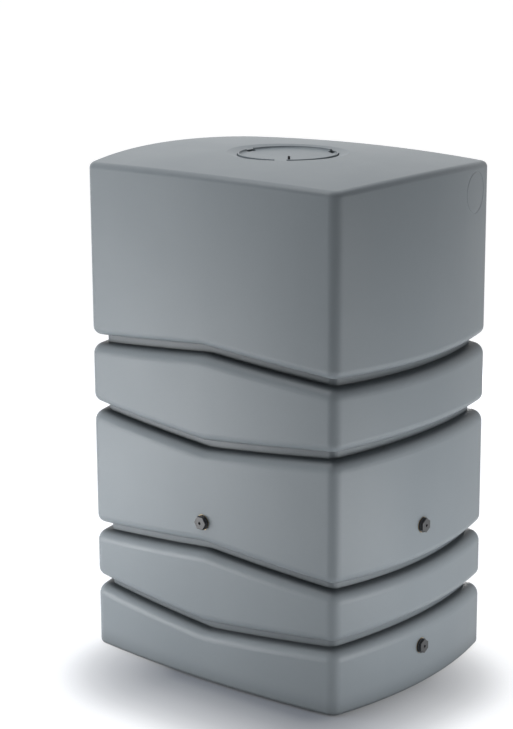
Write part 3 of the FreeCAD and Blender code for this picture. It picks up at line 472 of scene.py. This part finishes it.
def helix_rows(shape, low, high, radius, depth, point_at):
    """Rows of points that climb with the thread. A row's last point is the first of the next
    turn's row."""
    rows = []
    for turn in range(-1, math.ceil((high - low) / PIPE_PITCH) + 1):
        for share, cut in PIPE_SECTION:
            row = []
            for step in range(PIPE_STEPS + 1):
                climbed = turn + share + step / PIPE_STEPS
                height = min(high, max(low, low + PIPE_PITCH * climbed))
                grown = min(1.0, min(height - low, high - height) / PIPE_RUN_OUT)
                angle = FULL_TURN * step / PIPE_STEPS
                point = point_at(angle, radius + depth * cut * grown, height)
                row.append(shape.verts.new(point))
            rows.append(row)
    return rows


def cut_thread(node, body, outlet, radius, depth, material):
    """Stands a copy of a CAD node in its place, with a thread on the cylinder of the given radius.
    A negative depth cuts towards the axis, as on a shank, and a positive one away from it."""
    place, along = Vector(OUTLETS[outlet][0]), Vector(OUTLETS[outlet][1])
    aside = along.orthogonal().normalized()
    across = along.cross(aside)

    def height_of(point):
        return (point - place).dot(along)

    def off_wall(point):
        return abs((point - place - along * height_of(point)).length - radius)

    def point_at(angle, distance, height):
        spoke = aside * math.cos(angle) + across * math.sin(angle)
        return place + along * height + spoke * distance

    cad = NODES[node]
    mesh = cad.data.copy()
    mesh.name = node + "_threaded"
    mesh.transform(cad.matrix_world)
    shape = bmesh.new()
    shape.from_mesh(mesh)
    plain_wall = [face for face in shape.faces if abs(face.normal.dot(along)) < SIDEWAYS
                  and all(off_wall(corner.co) < WALL_TOLERANCE for corner in face.verts)]
    heights = [height_of(corner.co) for face in plain_wall for corner in face.verts]
    bmesh.ops.delete(shape, geom=plain_wall, context="FACES")
    rows = helix_rows(shape, min(heights), max(heights), radius, depth, point_at)
    for lower, upper in zip(rows, rows[1:]):
        for step in range(PIPE_STEPS):
            ring = [lower[step], lower[step + 1], upper[step + 1], upper[step]]
            shape.faces.new(ring if depth < 0 else ring[::-1])
    thread = [corner for row in rows for corner in row]
    bmesh.ops.remove_doubles(shape, verts=thread, dist=MERGE_DISTANCE)
    bmesh.ops.dissolve_degenerate(shape, edges=shape.edges, dist=MERGE_DISTANCE)
    shape.to_mesh(mesh)
    shape.free()
    if "custom_normal" in mesh.attributes:
        mesh.attributes.remove(mesh.attributes["custom_normal"])
    piece = link_mesh(mesh, material)
    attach(piece, body)
    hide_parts(node)


def make_pipe_threads(black, bush):
    """Threads on every plug and in every insert."""
    for outlet in OUTLETS:
        plug, insert = outlet + "_plug", outlet + "_insert"
        cut_thread(plug, plug, outlet, SHANK_RADIUS, -PIPE_DEPTH, black)
        cut_thread(insert, "tank", outlet, BORE_RADIUS, PIPE_DEPTH, bush)


# Floor and surroundings

FLOOR_REACH = 60.0
# The floor throws light back with the pale tone; camera and reflections see the darker one, which
# near the tank, without glow, shows as painted shadow.
FLOOR_PALE = (0.88, 0.88, 0.88)
FLOOR_SEEN = (0.19, 0.215, 0.26)
SKY_TINT = (0.95, 0.98, 1.0)
SKY_STRENGTH = 0.03

# The floor's own glow: none within a rectangle under the tank, rising with the distance from it; its
# absence near the tank is a painted shadow over the tank's real one
PAINTED_SHADOW_CENTRE = (0.117, -0.166)
PAINTED_SHADOW_HALF_SIZE = (0.174, 0.111)
PAINTED_SHADOW_REACH = 0.40
PAINTED_SHADOW_RISE = ((0.0, 0.0), (0.02, 0.06), (0.05, 0.085), (0.08, 0.16), (0.12, 0.235),
              (0.16, 0.325), (0.20, 0.41), (0.25, 0.56), (0.32, 0.86), (0.38, 1.0))


def seen_rays(tree):
    """1 for rays that the camera, a reflection or a clear piece sends, 0 for rays that light
    things."""
    path = tree.nodes.new("ShaderNodeLightPath").outputs
    reflected = arithmetic(tree, "MAXIMUM", path["Is Glossy Ray"], path["Is Transmission Ray"])
    return arithmetic(tree, "MAXIMUM", path["Is Camera Ray"], reflected)


def away_from_tank(tree):
    """0 in a rectangle beside the tank, where the glow is left out as a painted shadow over the
    floor's real one, rising to 1 a little way off.
    """
    place = own_place(tree)
    squares = []
    for axis, centre, half in zip("XY", PAINTED_SHADOW_CENTRE, PAINTED_SHADOW_HALF_SIZE):
        off = arithmetic(tree, "ABSOLUTE", arithmetic(tree, "SUBTRACT", place[axis], centre))
        beyond = arithmetic(tree, "MAXIMUM", arithmetic(tree, "SUBTRACT", off, half), 0.0)
        squares.append(arithmetic(tree, "POWER", beyond, 2.0))
    distance = arithmetic(tree, "SQRT", arithmetic(tree, "ADD", *squares))
    rise = tree.nodes.new("ShaderNodeValToRGB")
    knots = rise.color_ramp.elements
    while len(knots) < len(PAINTED_SHADOW_RISE):
        knots.new(0.5)
    for knot, (reach, level) in zip(knots, PAINTED_SHADOW_RISE):
        knot.position = reach / PAINTED_SHADOW_REACH
        knot.color = (level, level, level, 1.0)
    tree.links.new(arithmetic(tree, "DIVIDE", distance, PAINTED_SHADOW_REACH), rise.inputs["Fac"])
    return rise.outputs["Color"]


def make_floor():
    """Pale floor, darker as the camera sees it. Its glow, seen by the camera and in reflections
    alone, makes it white away from the tank and is left out beside it, a painted shadow over the
    tank's own."""
    mesh = bpy.data.meshes.new("floor")
    reach = FLOOR_REACH
    corners = [(-reach, -reach, 0), (reach, -reach, 0), (reach, reach, 0), (-reach, reach, 0)]
    mesh.from_pydata(corners, [], [(0, 1, 2, 3)])
    floor = bpy.data.objects.new("floor", mesh)
    bpy.context.scene.collection.objects.link(floor)
    material = bpy.data.materials.new("floor_pale")
    material.use_nodes = True
    tree = material.node_tree
    tree.nodes.clear()
    output = tree.nodes.new("ShaderNodeOutputMaterial")
    diffuse = tree.nodes.new("ShaderNodeBsdfDiffuse")
    tone = tree.nodes.new("ShaderNodeMix")
    tone.data_type = "RGBA"
    tone.inputs["A"].default_value = (*FLOOR_PALE, 1.0)
    tone.inputs["B"].default_value = (*FLOOR_SEEN, 1.0)
    tree.links.new(seen_rays(tree), tone.inputs["Factor"])
    tree.links.new(tone.outputs["Result"], diffuse.inputs["Color"])
    glow = tree.nodes.new("ShaderNodeEmission")
    glow.inputs["Color"].default_value = (*WHITE, 1.0)
    # Glow left out near the tank: a painted shadow there, over the floor's real one.
    seen_glow = arithmetic(tree, "MULTIPLY", seen_rays(tree), away_from_tank(tree))
    tree.links.new(seen_glow, glow.inputs["Strength"])
    both = tree.nodes.new("ShaderNodeAddShader")
    tree.links.new(diffuse.outputs["BSDF"], both.inputs[0])
    tree.links.new(glow.outputs["Emission"], both.inputs[1])
    tree.links.new(both.outputs["Shader"], output.inputs["Surface"])
    mesh.materials.append(material)


def make_world():
    """Even pale surroundings, pure white where the camera sees them."""
    world = bpy.data.worlds.new("surroundings")
    bpy.context.scene.world = world
    world.use_nodes = True
    tree = world.node_tree
    tree.nodes.clear()
    output = tree.nodes.new("ShaderNodeOutputWorld")
    mix = tree.nodes.new("ShaderNodeMixShader")
    tree.links.new(seen_rays(tree), mix.inputs["Fac"])
    for place, colour, strength in ((1, SKY_TINT, SKY_STRENGTH), (2, WHITE, 1.0)):
        background = tree.nodes.new("ShaderNodeBackground")
        background.inputs["Color"].default_value = (*colour, 1.0)
        background.inputs["Strength"].default_value = strength
        tree.links.new(background.outputs["Background"], mix.inputs[place])
    tree.links.new(mix.outputs["Shader"], output.inputs["Surface"])


# Lamps: large ones above and low on both sides, one behind for the back, and low ones that stand for
# the light a white studio floor throws back. The corner towards the camera stays darkest.

# name, place, target, width, height, watts
LAMPS = (
    ("top_softbox", (-0.3, 0.5, 4.0), (0.0, 0.0, 1.2), 2.6, 2.6, 41.0),
    ("top_front_softbox", (-0.8, -1.2, 3.2), (0.0, -0.1, 1.1), 1.6, 1.2, 29.0),
    ("left_softbox", (-2.4, -2.0, 0.5), (0.0, -0.3, 0.4), 1.2, 0.8, 12.0),
    ("left_low_softbox", (-1.3, -1.6, 0.25), (-0.1, -0.3, 0.4), 1.2, 0.45, 12.0),
    ("right_softbox", (2.5, 0.35, 0.4), (0.4, 0.0, 0.4), 1.2, 0.8, 11.0),
    ("back_softbox", (-1.5, 2.4, 0.55), (-0.1, 0.3, 0.55), 1.4, 0.9, 26.0),
    ("left_floor_light", (-0.6, -1.05, 0.04), (-0.1, -0.3, 0.5), 1.4, 0.5, 7.0),
    ("right_floor_light", (1.15, 0.0, 0.04), (0.4, 0.0, 0.5), 1.1, 0.5, 8.5),
)


def make_lights():
    """Rectangular lamps, each turned to its target."""
    for name, place, target, width, height, watts in LAMPS:
        data = bpy.data.lights.new(name, "AREA")
        data.shape = "RECTANGLE"
        data.size = width
        data.size_y = height
        data.energy = watts
        lamp = bpy.data.objects.new(name, data)
        bpy.context.scene.collection.objects.link(lamp)
        lamp.visible_camera = False
        lamp.location = place
        direction = Vector(target) - Vector(place)
        lamp.rotation_euler = direction.to_track_quat("-Z", "Y").to_euler()


def make_camera():
    """Camera where the photograph's stood, with its turn and its focal length."""
    yaw, pitch, roll = CAMERA_YAW, CAMERA_PITCH, CAMERA_ROLL
    forward = Vector((-math.sin(yaw) * math.cos(pitch), math.cos(yaw) * math.cos(pitch),
                      -math.sin(pitch)))
    level_right = Vector((math.cos(yaw), math.sin(yaw), 0.0))
    level_up = level_right.cross(forward)
    right = math.cos(roll) * level_right + math.sin(roll) * level_up
    up = math.cos(roll) * level_up - math.sin(roll) * level_right
    data = bpy.data.cameras.new("photo_camera")
    data.sensor_fit = "VERTICAL"
    data.sensor_height = SENSOR_HEIGHT
    data.lens = FOCAL_PIXELS * SENSOR_HEIGHT / PHOTO_HEIGHT
    data.clip_end = FARTHEST_SEEN
    camera = bpy.data.objects.new("photo_camera", data)
    turn = Matrix((right, up, -forward)).transposed().to_4x4()
    camera.matrix_world = Matrix.Translation(CAMERA_PLACE) @ turn
    bpy.context.scene.collection.objects.link(camera)
    bpy.context.scene.camera = camera


tank_grey, lid_grey, plug_black, insert_brass = dress_all()
make_lid_thread(tank_grey, lid_grey)
make_rim_cove(lid_grey)
make_pipe_marks(tank_grey)
make_pipe_threads(plug_black, insert_brass)
make_floor()
make_world()
make_lights()
make_camera()
bpy.context.scene.view_settings.view_transform = "Standard"
